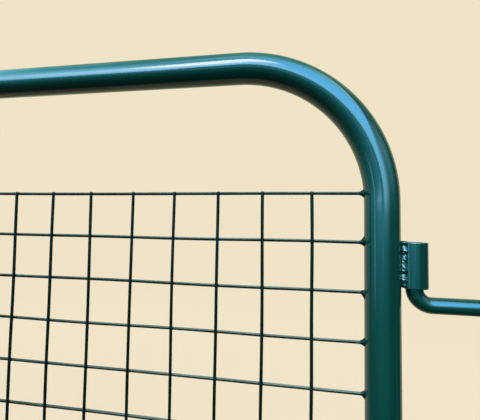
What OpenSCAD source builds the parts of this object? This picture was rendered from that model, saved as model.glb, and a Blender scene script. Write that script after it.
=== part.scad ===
// Kissing gate in green powder-coated steel: a round-cornered tube leaf with welded
// wire mesh swings between the legs of two matching hoops that form a V enclosure.
// Z is up with the ground at 0, X runs along the fence, and the origin is the foot of
// the hinge post. The leaf reaches from the post towards -X and closes on the fence line.

/* [Tube] */
// Outside diameter of the leaf and hoop tube
tube_d = 33.7; // [30:0.1:38]
// Wall of the leaf and hoop tube
tube_wall = 2; // [1.5:0.5:3]
// Centreline radius of the bent corners
bend_r = 147; // [100:1:160]

/* [Mesh] */
// Spacing of the wires, both ways
mesh_pitch = 50; // [40:1:60]
// Diameter of a wire
wire_d = 3; // [2.5:0.5:4]
// Depth that crossing wires are pressed into each other when they are welded
wire_sink = 0.4; // [0.2:0.1:0.6]
// Length of wire left standing past the outermost crossing
wire_overhang = 2.5; // [2:0.5:5]
// Least space from an outer upright wire to the face of the stile or leg
side_gap_min = 30; // [20:1:35]
// Least space from an outer level wire to the centreline of a rail
rail_gap_min = 115; // [100:1:125]

/* [Leaf] */
// Overall width of the leaf
leaf_width = 1072; // [850:1:1150]
// Overall height of the leaf, and of each hoop above the ground clearance
leaf_height = 1061; // [800:1:1100]
// Gap between the ground and the leaf
ground_clearance = 90; // [50:5:150]

/* [Hinge] */
// From the hinge axis to the middle of the hinge post
axis_to_post = 110; // [90:1:140]
// Outside diameter of a hinge bush
bush_d = 25; // [24:0.5:30]
// Length of a hinge bush
bush_length = 45; // [35:1:60]
// From the mesh's outermost wire to the near end of the bush
bush_from_mesh = 48.5; // [30:0.5:80]
// Diameter of the round bar that a hinge hook is bent from
pin_d = 16; // [14:0.5:18]
// Radial clearance of the pin in its bush
pin_clearance = 0.08; // [0.05:0.01:0.1]
// Depth of the pin's tip below the bush's upper rim
pin_recess = 6; // [2:1:12]
// Centreline radius of the hook's bend
hook_bend_r = 16; // [14:0.5:20]
// Gap between a bush and the hook's bend
hook_gap = 0.3; // [0.2:0.1:1]
// Chamfer on the ends of pins and bushes
hinge_chamfer = 0.8; // [0.4:0.1:1.2]
// Half thickness of the weld beads that hold a bush to the stile
bush_bead_r = 8.5; // [7:0.5:10]

/* [Hinge post] */
// Outside diameter of the hinge post
post_d = 76.1; // [60.3:0.1:89]
// Wall of the hinge post
post_wall = 3.2; // [2:0.1:5]
// Height of the hinge post, without its cap
post_height = 1235; // [1180:5:1400]
// Rise of the cap's dome
cap_rise = 12; // [6:1:20]
// Depth of the cap's plug inside the post
cap_plug = 18; // [10:1:30]
// Thickness of the cap's rim and plug
cap_wall = 2.5; // [2:0.5:4]
// Clearance of the cap's plug in the post
cap_clearance = 0.2; // [0.1:0.1:0.5]

/* [Enclosure] */
// Overall length of one hoop
hoop_length = 1272; // [1100:1:1300]
// Angle from the fence line to each clapping leg, seen from the hinge axis
clapping_angle = 27; // [24:0.5:35]
// Gap between the two foot plates at the point of the V
apex_foot_gap = 6; // [2:1:30]

/* [Clamps] */
// Height of a clamp that ties the two hoops together
clamp_height = 30; // [20:1:34]
// Thickness of the clamp's flat bar
clamp_bar = 5; // [4:0.5:6]
// Gap between the two halves of a clamp
clamp_gap = 4; // [2:0.5:8]
// Diameter of the clamp's bolt hole
clamp_hole_d = 9; // [7:0.5:11]
// Mesh rows between an outermost level wire and the clamp's own row
clamp_row = 2; // [0:1:4]

/* [Foot plates] */
// Side of the hinge post's square base plate
base_side = 160; // [130:1:200]
// Thickness of the hinge post's base plate
base_thickness = 10; // [6:1:15]
// Spacing of the bolt holes in the base plate
base_hole_spacing = 120; // [100:1:125]
// Diameter of the bolt holes in the base plate
base_hole_d = 14; // [12:1:18]
// Side of a hoop leg's square foot plate
foot_side = 100; // [90:1:120]
// Thickness of a foot plate
foot_thickness = 8; // [5:1:12]
// Spacing of the bolt holes in a foot plate
foot_hole_spacing = 70; // [60:1:75]
// Diameter of the bolt holes in a foot plate
foot_hole_d = 11; // [9:1:14]
// Radius of the corners of the plates
plate_corner_r = 8; // [3:1:12]

/* [Buffers] */
// Thickness of the rubber sleeve on a clapping leg
buffer_wall = 6; // [4:0.5:8]
// Length of a rubber sleeve
buffer_length = 70; // [40:5:100]
// Width of the sleeve's slit, which stands over the wires
buffer_slit = 10; // [8:1:12]
// From the middle of the mesh to the middle of each sleeve
buffer_offset = 250; // [150:10:300]

/* [Hidden] */

$fn = 48;
coat = [0.03, 0.20, 0.16];
rubber = [0.05, 0.05, 0.05];

tube_r = tube_d / 2;
bush_r = bush_d / 2;
pin_r = pin_d / 2;
wire_r = wire_d / 2;
post_r = post_d / 2;
eps = 1;

// Whole mesh cells that fit in a length with a least gap left at both ends
function whole_cells(length, gap_min) = floor((length - 2 * gap_min) / mesh_pitch);

// Heights that the leaf and the hoops share
bottom_rail_z = ground_clearance + tube_r;
top_rail_z = ground_clearance + leaf_height - tube_r;
mesh_rows = whole_cells(top_rail_z - bottom_rail_z, rail_gap_min);
mesh_mid_z = (bottom_rail_z + top_rail_z) / 2;
mesh_top_z = mesh_mid_z + mesh_rows * mesh_pitch / 2;
mesh_bottom_z = mesh_mid_z - mesh_rows * mesh_pitch / 2;
rail_to_mesh = top_rail_z - mesh_top_z;

// Places along the leaf, measured from the post towards the free end
axis_x = -axis_to_post;
hinge_stile_x = axis_x - bush_r - tube_r;
leaf_w = leaf_width - tube_d;
leaf_clear = leaf_w - tube_d;
leaf_mid_x = hinge_stile_x - leaf_w / 2;
free_stile_reach = axis_x - (hinge_stile_x - leaf_w);

// The back hoop in plan: its clapping leg stands on the free stile's arc
hoop_w = hoop_length - tube_d;
hoop_clear = hoop_w - tube_d;
clap_x = axis_x - free_stile_reach * cos(clapping_angle);
clap_y = free_stile_reach * sin(clapping_angle);
apex_y = (foot_side + apex_foot_gap) / 2;
hoop_angle = asin((clap_y - apex_y) / hoop_w);
apex_x = clap_x - hoop_w * cos(hoop_angle);

// Undersides of the bushes, and middles of the clamps, each in the middle of a mesh row
upper_bush_z = mesh_top_z - bush_from_mesh - bush_length;
lower_bush_z = mesh_bottom_z + bush_from_mesh;
upper_clamp_z = mesh_top_z - (clamp_row + 0.5) * mesh_pitch;
lower_clamp_z = mesh_bottom_z + (clamp_row + 0.5) * mesh_pitch;

module ring(r_out, r_in) {
    difference() {
        circle(r = r_out);
        circle(r = r_in);
    }
}

// Straight tube along +Z from the origin
module straight_tube(length) {
    linear_extrude(height = length) ring(tube_r, tube_r - tube_wall);
}

// Quarter bend from a level rail at the origin, running +X, down to a leg
module corner_bend() {
    translate([0, 0, -bend_r])
        rotate([90, 0, 0])
            rotate_extrude(angle = 90)
                translate([bend_r, 0]) ring(tube_r, tube_r - tube_wall);
}

// Tube bent to an upside-down U, rail centre at the origin, legs at +-width/2
module bent_hoop(width, leg_length) {
    half_rail = width / 2 - bend_r;
    union() {
        translate([-half_rail, 0, 0]) rotate([0, 90, 0]) straight_tube(2 * half_rail);
        for (side = [0, 1]) mirror([side, 0, 0]) {
            translate([half_rail, 0, 0]) corner_bend();
            translate([width / 2, 0, -leg_length]) straight_tube(leg_length - bend_r);
        }
    }
}

// From the middle of the sheet to the tube's inner face, at a height below the rail
function half_reach(clear, below_rail) =
    below_rail >= bend_r
        ? clear / 2
        : clear / 2 + tube_r - bend_r
            + sqrt(pow(bend_r - tube_r, 2) - pow(bend_r - below_rail, 2));

wire_sides = 6;
wire_flat = wire_r * cos(180 / wire_sides);
wire_layer = wire_flat - wire_sink / 2;

// Wire along +Z with its flats facing the other layer
module wire(length) {
    rotate([0, 0, 180 / wire_sides]) cylinder(r = wire_r, h = length, $fn = wire_sides);
}

// Welded sheet in the XZ plane, top wire at the origin; the upright wires lie towards -Y
module mesh_sheet(clear) {
    cells = whole_cells(clear, side_gap_min);
    height = mesh_rows * mesh_pitch;
    union() {
        for (i = [0 : cells])
            translate([(i - cells / 2) * mesh_pitch, -wire_layer, -height - wire_overhang])
                wire(height + 2 * wire_overhang);
        for (j = [0 : mesh_rows]) {
            reach = half_reach(clear, min(rail_to_mesh + j * mesh_pitch,
                                          rail_to_mesh + (mesh_rows - j) * mesh_pitch));
            translate([-reach, wire_layer, -j * mesh_pitch])
                rotate([0, 90, 0]) rotate([0, 0, 90]) wire(2 * reach);
        }
    }
}

// Square plate with rounded corners and four bolt holes, lying on the ground
module foot_plate(side, thickness, spacing, hole_d) {
    straight = side - 2 * plate_corner_r;
    difference() {
        union() {
            translate([-side / 2, -straight / 2, 0]) cube([side, straight, thickness]);
            translate([-straight / 2, -side / 2, 0]) cube([straight, side, thickness]);
            for (x = [-1, 1], y = [-1, 1])
                translate([x * straight / 2, y * straight / 2, 0])
                    cylinder(r = plate_corner_r, h = thickness);
        }
        for (x = [-1, 1], y = [-1, 1])
            translate([x * spacing / 2, y * spacing / 2, -eps])
                cylinder(d = hole_d, h = thickness + 2 * eps);
    }
}

module hinge_post() {
    color(coat)
        translate([0, 0, base_thickness])
            linear_extrude(height = post_height - base_thickness)
                ring(post_r, post_r - post_wall);
}

// Domed cap with a rim on the post's end and a plug inside its bore
module hinge_post_cap() {
    plug_r = post_r - post_wall - cap_clearance;
    dome_r = (post_r * post_r + cap_rise * cap_rise) / (2 * cap_rise);
    dome_angle = asin(post_r / dome_r);
    steps = 12;
    dome = [for (i = [0 : steps]) let (a = dome_angle * (1 - i / steps))
        [dome_r * sin(a), cap_wall + dome_r * cos(a) - dome_r + cap_rise]];
    color(coat)
        translate([0, 0, post_height])
            rotate_extrude()
                polygon(concat(
                    [[0, 0], [plug_r - cap_wall, 0], [plug_r - cap_wall, -cap_plug],
                     [plug_r, -cap_plug], [plug_r, 0], [post_r, 0]],
                    dome));
}

module hinge_post_base_plate() {
    color(coat) foot_plate(base_side, base_thickness, base_hole_spacing, base_hole_d);
}

// Round bar bent to an L: its pin stands in the bush and its arm is welded to the post
module hinge_hook(bush_z) {
    bend_z = bush_z - hook_gap;
    tip_z = bush_z + bush_length - pin_recess;
    color(coat)
        difference() {
            union() {
                translate([axis_x, 0, 0])
                    rotate_extrude()
                        polygon([[0, bend_z], [pin_r, bend_z], [pin_r, tip_z - hinge_chamfer],
                                 [pin_r - hinge_chamfer, tip_z], [0, tip_z]]);
                translate([axis_x + hook_bend_r, 0, bend_z])
                    rotate([90, 0, 0]) rotate([0, 0, 180])
                        rotate_extrude(angle = 90) translate([hook_bend_r, 0]) circle(r = pin_r);
                translate([axis_x + hook_bend_r, 0, bend_z - hook_bend_r])
                    rotate([0, 90, 0]) cylinder(r = pin_r, h = axis_to_post - hook_bend_r - post_r / 2);
            }
            translate([0, 0, bend_z - hook_bend_r - pin_d])
                cylinder(r = post_r, h = 2 * pin_d);
        }
}

module upper_hinge_hook() { hinge_hook(upper_bush_z); }
module lower_hinge_hook() { hinge_hook(lower_bush_z); }

module hinge_bush(bush_z) {
    bore_r = pin_r + pin_clearance;
    color(coat)
        translate([axis_x, 0, bush_z])
            rotate_extrude()
                polygon([
                    [bore_r, 0], [bush_r - hinge_chamfer, 0], [bush_r, hinge_chamfer],
                    [bush_r, bush_length - hinge_chamfer], [bush_r - hinge_chamfer, bush_length],
                    [bore_r, bush_length]]);
}

module upper_hinge_bush() { hinge_bush(upper_bush_z); }
module lower_hinge_bush() { hinge_bush(lower_bush_z); }

// Two beads that fill the valleys between the bush and the stile
module bush_welds(bush_z) {
    root_gap = 0.6;
    color(coat)
        translate([0, 0, bush_z + hinge_chamfer])
            linear_extrude(height = bush_length - 2 * hinge_chamfer)
                difference() {
                    translate([axis_x - bush_r, 0]) circle(r = bush_bead_r);
                    translate([axis_x, 0]) circle(r = bush_r);
                    translate([hinge_stile_x, 0]) circle(r = tube_r);
                    translate([hinge_stile_x, -root_gap]) square([tube_d, 2 * root_gap]);
                }
}

module upper_bush_welds() { bush_welds(upper_bush_z); }
module lower_bush_welds() { bush_welds(lower_bush_z); }

module leaf_upper_frame() {
    color(coat) translate([leaf_mid_x, 0, top_rail_z]) bent_hoop(leaf_w, top_rail_z - mesh_mid_z);
}

module leaf_lower_frame() {
    color(coat)
        translate([leaf_mid_x, 0, bottom_rail_z])
            mirror([0, 0, 1]) bent_hoop(leaf_w, mesh_mid_z - bottom_rail_z);
}

module leaf_mesh() {
    color(coat) translate([leaf_mid_x, 0, mesh_top_z]) mesh_sheet(leaf_clear);
}

// Puts a child made in the hoop's own plane where the back hoop stands
module at_back_hoop() {
    translate([(clap_x + apex_x) / 2, (clap_y + apex_y) / 2, 0])
        rotate([0, 0, hoop_angle]) children();
}

module hoop() {
    color(coat) translate([0, 0, top_rail_z]) bent_hoop(hoop_w, top_rail_z - foot_thickness);
}

// Straight rail between the legs, its ends coped to them
module hoop_bottom_rail() {
    color(coat)
        difference() {
            translate([-hoop_w / 2, 0, bottom_rail_z]) rotate([0, 90, 0]) straight_tube(hoop_w);
            for (side = [-1, 1])
                translate([side * hoop_w / 2, 0, bottom_rail_z - tube_d])
                    cylinder(r = tube_r, h = 2 * tube_d);
        }
}

// The sheet is turned so that its upright wires face out of the enclosure
module hoop_mesh() {
    color(coat)
        translate([0, 0, mesh_top_z])
            mirror([0, 1, 0]) mesh_sheet(hoop_clear);
}

module leg_foot(x, y) {
    color(coat)
        translate([x, y, 0])
            foot_plate(foot_side, foot_thickness, foot_hole_spacing, foot_hole_d);
}

// Rubber sleeve sprung over a clapping leg, its slit towards the mesh
module buffer(z) {
    lip = buffer_wall / 2;
    color(rubber)
        translate([hoop_w / 2, 0, z - buffer_length / 2])
            difference() {
                rotate_extrude()
                    polygon([
                        [tube_r, 0], [tube_r + lip, 0], [tube_r + buffer_wall, lip],
                        [tube_r + buffer_wall, buffer_length - lip],
                        [tube_r + lip, buffer_length], [tube_r, buffer_length]]);
                translate([-tube_d, -buffer_slit / 2, -eps])
                    cube([tube_d, buffer_slit, buffer_length + 2 * eps]);
            }
}

module back_hoop() { at_back_hoop() hoop(); }
module back_hoop_bottom_rail() { at_back_hoop() hoop_bottom_rail(); }
module back_hoop_mesh() { at_back_hoop() hoop_mesh(); }
module back_clapping_foot() { leg_foot(clap_x, clap_y); }
module back_apex_foot() { leg_foot(apex_x, apex_y); }
module back_upper_buffer() { at_back_hoop() buffer(mesh_mid_z + buffer_offset); }
module back_lower_buffer() { at_back_hoop() buffer(mesh_mid_z - buffer_offset); }

module front_hoop() { mirror([0, 1, 0]) back_hoop(); }
module front_hoop_bottom_rail() { mirror([0, 1, 0]) back_hoop_bottom_rail(); }
module front_hoop_mesh() { mirror([0, 1, 0]) back_hoop_mesh(); }
module front_clapping_foot() { mirror([0, 1, 0]) back_clapping_foot(); }
module front_apex_foot() { mirror([0, 1, 0]) back_apex_foot(); }
module front_upper_buffer() { mirror([0, 1, 0]) back_upper_buffer(); }
module front_lower_buffer() { mirror([0, 1, 0]) back_lower_buffer(); }

// Half of a clamp: flat bar pressed round both apex legs, drilled for one bolt
module clamp_half(z) {
    wrap_r = tube_r + clamp_bar;
    end_y = apex_y + wrap_r + clamp_bar;
    color(coat)
        translate([apex_x, 0, z - clamp_height / 2])
            difference() {
                linear_extrude(height = clamp_height)
                    difference() {
                        union() {
                            translate([clamp_gap / 2, -end_y]) square([clamp_bar, 2 * end_y]);
                            for (side = [-1, 1]) intersection() {
                                translate([0, side * apex_y]) circle(r = wrap_r);
                                translate([clamp_gap / 2, -end_y]) square([wrap_r, 2 * end_y]);
                            }
                        }
                        for (side = [-1, 1]) translate([0, side * apex_y]) circle(r = tube_r);
                    }
                translate([0, 0, clamp_height / 2])
                    rotate([0, 90, 0]) cylinder(d = clamp_hole_d, h = wrap_r);
            }
}

module clamp_half_outer(z) {
    translate([2 * apex_x, 0, 0]) mirror([1, 0, 0]) clamp_half(z);
}

module upper_clamp_inner() { clamp_half(upper_clamp_z); }
module upper_clamp_outer() { clamp_half_outer(upper_clamp_z); }
module lower_clamp_inner() { clamp_half(lower_clamp_z); }
module lower_clamp_outer() { clamp_half_outer(lower_clamp_z); }

hinge_post();
hinge_post_cap();
hinge_post_base_plate();
upper_hinge_hook();
lower_hinge_hook();
front_hoop();
front_hoop_bottom_rail();
front_hoop_mesh();
front_clapping_foot();
front_apex_foot();
front_upper_buffer();
front_lower_buffer();
back_hoop();
back_hoop_bottom_rail();
back_hoop_mesh();
back_clapping_foot();
back_apex_foot();
back_upper_buffer();
back_lower_buffer();
upper_clamp_inner();
upper_clamp_outer();
lower_clamp_inner();
lower_clamp_outer();
leaf_upper_frame();
leaf_lower_frame();
leaf_mesh();
upper_hinge_bush();
lower_hinge_bush();
upper_bush_welds();
lower_bush_welds();
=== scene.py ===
import math

import bpy
import numpy as np
from mathutils import Matrix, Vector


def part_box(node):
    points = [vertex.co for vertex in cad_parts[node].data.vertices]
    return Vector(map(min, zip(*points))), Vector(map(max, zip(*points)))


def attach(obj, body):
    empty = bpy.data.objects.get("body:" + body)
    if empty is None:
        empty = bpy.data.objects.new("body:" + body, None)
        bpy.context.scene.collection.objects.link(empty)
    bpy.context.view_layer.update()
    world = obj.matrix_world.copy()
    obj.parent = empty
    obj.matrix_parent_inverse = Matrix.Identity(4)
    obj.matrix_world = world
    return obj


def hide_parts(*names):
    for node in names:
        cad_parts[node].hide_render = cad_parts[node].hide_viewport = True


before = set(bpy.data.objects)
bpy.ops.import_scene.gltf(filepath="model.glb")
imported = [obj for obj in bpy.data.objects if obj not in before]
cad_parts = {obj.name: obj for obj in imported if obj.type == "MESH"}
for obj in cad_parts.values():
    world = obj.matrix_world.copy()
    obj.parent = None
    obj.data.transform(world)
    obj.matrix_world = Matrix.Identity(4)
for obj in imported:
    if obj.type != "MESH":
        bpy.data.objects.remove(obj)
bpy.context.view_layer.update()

# The camera stands 0.4 m in front of the leaf's upper hinge corner and looks slightly up.
# Its focal length is in pixels of a picture 480 wide, and its optical centre lies a little
# to the left of the middle.
picture_width = 480
focal_px = 348.94
optical_centre_px = 215
camera_place = (-0.2418, -0.3775, 0.9584)
camera_right = (0.983529, 0.179875, 0.017746)
camera_up = (-0.008567, -0.051678, 0.998627)
camera_back = (0.180545, -0.982331, -0.049286)

lens = bpy.data.cameras.new("corner_camera")
lens.sensor_fit = "HORIZONTAL"
lens.sensor_width = 36
lens.lens = lens.sensor_width * focal_px / picture_width
lens.shift_x = 0.5 - optical_centre_px / picture_width
lens.clip_start = 0.01
camera = bpy.data.objects.new("corner_camera", lens)
camera.matrix_world = Matrix([
    (*row, place) for row, place in zip(zip(camera_right, camera_up, camera_back), camera_place)
] + [(0, 0, 0, 1)])
bpy.context.scene.collection.objects.link(camera)
bpy.context.scene.camera = camera
bpy.context.scene.view_settings.view_transform = "Standard"


# Daylight of an open yard: dark ground, a bright break in the clouds in front of the leaf,
# blue sky to its right over a roof, and a pale cream side behind. What the gloss mirrors is
# stronger than what the matt surfaces gather, as on a bright overcast day.
def add_node(tree, kind, inputs=None, **settings):
    """Adds a shader node. An input's value may be a plain value or another node's socket."""
    made = tree.nodes.new(kind)
    for name, value in settings.items():
        setattr(made, name, value)
    for name, value in (inputs or {}).items():
        if isinstance(value, bpy.types.NodeSocket):
            tree.links.new(value, made.inputs[name])
        else:
            made.inputs[name].default_value = value
    return made


def maths(tree, operation, first, second=0.0, third=None):
    """One sum on sockets or numbers."""
    values = {0: first, 1: second}
    if third is not None:
        values[2] = third
    return add_node(tree, "ShaderNodeMath", values, operation=operation).outputs[0]


def fade(tree, value, start, end, low=0.0, high=1.0):
    """Smooth step from low at start to high at end."""
    made = add_node(tree, "ShaderNodeMapRange", {
        "Value": value, "From Min": start, "From Max": end, "To Min": low, "To Max": high},
        interpolation_type="SMOOTHSTEP")
    return made.outputs["Result"]


def blend_colours(tree, share, first, second):
    """Colour that goes from first to second as the share goes from 0 to 1."""
    return add_node(tree, "ShaderNodeMix", {0: share, 6: first, 7: second}, data_type="RGBA").outputs[2]


def colour_steps(tree, value, stops):
    """Ramp through (position, red, green, blue) stops."""
    made = add_node(tree, "ShaderNodeValToRGB", {"Fac": value})
    ramp = made.color_ramp
    while len(ramp.elements) < len(stops):
        ramp.elements.new(0.5)
    for element, (position, *colour) in zip(ramp.elements, stops):
        element.position = position
        element.color = (*colour, 1)
    return made.outputs["Color"]


# Each side of the sky is a list of degrees above the horizon with the light's red, green and
# blue there.
gloss_strength = 24.0
matt_strength = 1.0
zenith = (90, 0.5, 1.65, 1.9)
left_sky = [
    (-90, 0.0, 0.0, 0.0), (-40, 0.05, 0.0, 0.0), (-22, 0.05, 0.25, 0.25), (-14, 0.06, 0.6, 0.7),
    (-6, 0.15, 1.1, 1.3), (3, 0.25, 1.5, 1.9), (12, 0.9, 3.4, 4.6), (40, 1.3, 4.8, 6.4),
    (55, 0.4, 2.0, 2.7), (75, 0.3, 1.4, 1.6), zenith]
front_sky = [
    (-90, 0.0, 0.0, 0.0), (-46, 0.0, 0.05, 0.05), (-32, 0.03, 0.22, 0.18), (-22, 0.05, 0.42, 0.36),
    (-14, 0.07, 0.60, 0.76), (-8, 0.15, 1.05, 1.6), (2.5, 0.45, 2.2, 3.3), (5.5, 3.4, 8.0, 11.6),
    (12, 5.4, 11.4, 16.6), (20, 7.2, 12.8, 18.2), (28, 6.6, 11.8, 16.4), (36, 3.2, 7.8, 11.2),
    (46, 1.8, 5.4, 8.0), (56, 1.0, 3.9, 5.6), (66, 1.5, 4.6, 6.1), (76, 1.3, 3.9, 5.0),
    (83, 0.7, 2.2, 2.7), zenith]
right_sky = [
    (-90, 0.0, 0.0, 0.0), (-40, 0.0, 0.1, 0.1), (-22, 0.04, 0.36, 0.32), (-10, 0.08, 0.75, 0.9),
    (-2, 0.2, 1.4, 1.9), (2.5, 0.8, 2.8, 3.8), (5, 2.7, 7.2, 10.4), (11, 3.0, 9.4, 14.0),
    (20, 2.8, 9.8, 18.4), (34, 2.2, 9.0, 18.0), (48, 2.0, 7.9, 14.6), (58, 1.9, 6.6, 10.6),
    (67, 1.6, 5.4, 8.0), (76, 1.0, 3.1, 4.3), zenith]
pale_sky = [
    (-90, 0.0, 0.0, 0.0), (-10, 0.05, 0.5, 0.6), (8, 0.5, 1.7, 2.2), (30, 3.0, 6.8, 9.4),
    (50, 2.5, 6.0, 8.0), (60, 2.0, 5.2, 6.8), (72, 0.5, 2.0, 2.8), zenith]
roof_side = [
    (-90, 0.0, 0.0, 0.0), (-10, 0.0, 0.02, 0.02), (3, 0.05, 0.25, 0.35), (12, 0.45, 1.5, 1.9),
    (22, 0.95, 2.4, 3.0), (31, 0.75, 1.8, 2.2), (37, 0.25, 0.55, 0.6), (46, 0.3, 0.9, 1.0),
    (70, 0.4, 1.3, 1.6), zenith]
cream_side = [
    (-90, 0.40, 0.38, 0.25), (-45, 0.60, 0.56, 0.36), (-22, 0.62, 0.60, 0.40), (-8, 0.70, 0.74, 0.50),
    (20, 0.66, 0.74, 0.50), (48, 0.50, 0.72, 0.48), (70, 0.36, 0.85, 0.66), zenith]
matt_sky = [
    (-90, 0.02, 0.02, 0.02), (-10, 0.05, 0.05, 0.05), (10, 0.60, 0.63, 0.66), (90, 1.0, 1.0, 1.0)]
roof_shade = (0.1, 0.35, 0.3)
cloud_white = (18, 21, 22.5)
hump_shade = (0.4, 2.2, 3.2)
gleam_blue = (1.5, 5.0, 6.0)
gleam_turn = 61

world = bpy.data.worlds.new("daylight")
world.use_nodes = True
bpy.context.scene.world = world
sky = world.node_tree
sky.nodes.clear()
direction = add_node(sky, "ShaderNodeTexCoord").outputs["Generated"]
toward = add_node(sky, "ShaderNodeSeparateXYZ", {0: direction})
lift = maths(sky, "ARCSINE", toward.outputs["Z"])
height = maths(sky, "MULTIPLY_ADD", lift, 1 / math.pi, 0.5)
turn = maths(sky, "ARCTAN2", toward.outputs["X"], maths(sky, "MULTIPLY", toward.outputs["Y"], -1))
left_turn = maths(sky, "MULTIPLY", turn, -1)


def by_height(stops, strength=gloss_strength):
    """Colour of one side of the sky, as shares of the light's strength."""
    return colour_steps(sky, height, [
        ((degrees + 90) / 180, *(level / strength for level in colour)) for degrees, *colour in stops])


def between(angle, start, end):
    """Smooth step over an angle, from 0 at start to 1 at end, in degrees."""
    return fade(sky, angle, math.radians(start), math.radians(end))


def painted(share, first, colour):
    """First, given over to one plain colour of light where the share is 1."""
    return blend_colours(sky, share, first, (*(level / gloss_strength for level in colour), 1))


# From left to right, in degrees of turn from straight ahead, each side fades into the next.
mirrored = by_height(left_sky)
for start, end, side in ((-64, -26, front_sky), (-16, 8, right_sky), (36, 54, pale_sky)):
    mirrored = blend_colours(sky, between(turn, start, end), mirrored, by_height(side))
roof_line = maths(sky, "MULTIPLY_ADD", lift, -1.5, turn)
under_roof = maths(sky, "MULTIPLY", between(roof_line, -3, 1), between(turn, 6, 44))
roof = painted(between(turn, 66, 84), by_height(roof_side), roof_shade)
mirrored = blend_colours(sky, under_roof, mirrored, roof)
for angle, start, end in ((turn, 84, 116), (left_turn, 84, 132)):
    mirrored = blend_colours(sky, between(angle, start, end), mirrored, by_height(cream_side))

# Two white clouds run together over the open sky, and a low dark hump lies in front: each is
# a direction, the degrees from it where the spot starts and where it is full, and a colour.
for middle, edge, core, colour in (((-0.207, -0.832, 0.515), 12.5, 3, cloud_white),
                                   ((-0.095, -0.771, 0.629), 11, 3, cloud_white),
                                   ((-0.156, -0.987, 0.035), 9, 6, hump_shade)):
    near = add_node(sky, "ShaderNodeVectorMath", {0: direction, 1: middle}, operation="DOT_PRODUCT")
    spot = fade(sky, near.outputs["Value"], math.cos(math.radians(edge)), math.cos(math.radians(core)))
    mirrored = painted(spot, mirrored, colour)

# One pale upright gleam to the left draws a thin line down every tube.
off_gleam = maths(sky, "ABSOLUTE", maths(sky, "ADD", turn, math.radians(gleam_turn)))
gleam_height = maths(sky, "MULTIPLY", between(lift, -14, -3), between(lift, 30, 8))
gleam = maths(sky, "MULTIPLY", between(off_gleam, 5.5, 1.5), gleam_height)
mirrored = painted(gleam, mirrored, gleam_blue)

gloss_light = add_node(sky, "ShaderNodeBackground", {"Color": mirrored, "Strength": gloss_strength})
matt_light = add_node(sky, "ShaderNodeBackground", {
    "Color": by_height(matt_sky, matt_strength), "Strength": matt_strength})
rays = add_node(sky, "ShaderNodeLightPath")
either = add_node(sky, "ShaderNodeMixShader", {
    0: rays.outputs["Is Glossy Ray"], 1: matt_light.outputs[0], 2: gloss_light.outputs[0]})
add_node(sky, "ShaderNodeOutputWorld", {"Surface": either.outputs[0]})

sun = bpy.data.lights.new("soft_key", "SUN")
sun.energy = 1.2
sun.angle = math.radians(7)
key = bpy.data.objects.new("soft_key", sun)
key.rotation_euler = (math.radians(32), math.radians(-14), 0)
key.visible_glossy = False
bpy.context.scene.collection.objects.link(key)


# The floor is a plain pale cream disc that runs up into a dome of the same colour, so that
# no edge shows behind the object. Only the camera sees it: the object isn't lit by it.
stage_centre = (-1.13, 0)
stage_radius = 9.0
stage_columns = 96
floor_rings = [0.5, 1.5, 3.0, 5.0]
lit_radius, even_radius = 2.6, 5.5
floor_drop = 0.0004
backdrop_colour = (0.871, 0.768, 0.571, 1)
floor_colour = (0.82, 0.708, 0.52, 1)


def around(columns):
    """Even angles once round a circle."""
    return np.arange(columns) * 2 * np.pi / columns


def turned(radius, angle, height):
    """Points about the upright axis: x = r cos a, y = r sin a, z = height."""
    return np.stack(np.broadcast_arrays(radius * np.cos(angle), radius * np.sin(angle), height), -1)


def lathe(centre, radii, heights, columns):
    """Profile turned round the upright axis that goes through a centre."""
    radii, heights = np.asarray(radii, float)[:, None], np.asarray(heights, float)[:, None]
    return turned(radii, around(columns), heights) + [centre[0], centre[1], 0]


def grid_quads(rows, columns, close_rows):
    """Corner numbers of the quads of a rows x columns grid whose columns close on themselves.
    Seen along growing rows the columns run anticlockwise, and the quads face outwards."""
    row = np.arange(rows if close_rows else rows - 1)[:, None]
    column = np.arange(columns)[None, :]
    next_row, next_column = (row + 1) % rows, (column + 1) % columns
    corners = [row * columns + column, row * columns + next_column,
               next_row * columns + next_column, next_row * columns + column]
    return np.stack([np.broadcast_to(c, (row.size, columns)) for c in corners], -1).reshape(-1, 4)


def skin(*grids):
    """Points and faces of one or more grids of points, each copies x rows x columns x 3.
    A grid given as ("ring", grid) closes its rows on themselves, any other gets a fan of
    triangles round a centre point over its first and its last row."""
    points, faces, first = [], [], 0
    for grid in grids:
        ring = isinstance(grid, tuple)
        grid = grid[1] if ring else grid
        grid = grid[None] if grid.ndim == 3 else grid
        copies, rows, columns, _ = grid.shape
        block = grid.reshape(copies, rows * columns, 3)
        quads = grid_quads(rows, columns, ring)
        if not ring:
            ends = grid[:, [0, -1]].mean(axis=2)
            block = np.concatenate([block, ends], axis=1)
            spoke = np.arange(columns)
            onward = (spoke + 1) % columns
            last = (rows - 1) * columns
            fans = np.concatenate([
                np.stack([np.full(columns, rows * columns), onward, spoke], -1),
                np.stack([np.full(columns, rows * columns + 1), last + spoke, last + onward], -1)])
        for copy in range(copies):
            faces += (quads + first).tolist()
            if not ring:
                faces += (fans + first).tolist()
            first += block.shape[1]
        points.append(block.reshape(-1, 3))
    return np.concatenate(points), faces


def mesh_object(name, points, faces, material, crease=35):
    """One smooth mesh object at the origin, with sharp edges where faces meet above the crease."""
    mesh = bpy.data.meshes.new(name)
    mesh.from_pydata(points.tolist(), [], faces)
    mesh.polygons.foreach_set("use_smooth", np.ones(len(faces), bool))
    mesh.set_sharp_from_angle(angle=math.radians(crease))
    mesh.materials.append(material)
    made = bpy.data.objects.new(name, mesh)
    bpy.context.scene.collection.objects.link(made)
    return made


def new_material(name):
    """Empty node material and its tree."""
    made = bpy.data.materials.new(name)
    made.use_nodes = True
    made.node_tree.nodes.clear()
    return made, made.node_tree


def object_place(tree):
    """Place on the object, in metres."""
    return add_node(tree, "ShaderNodeTexCoord").outputs["Object"]


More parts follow.
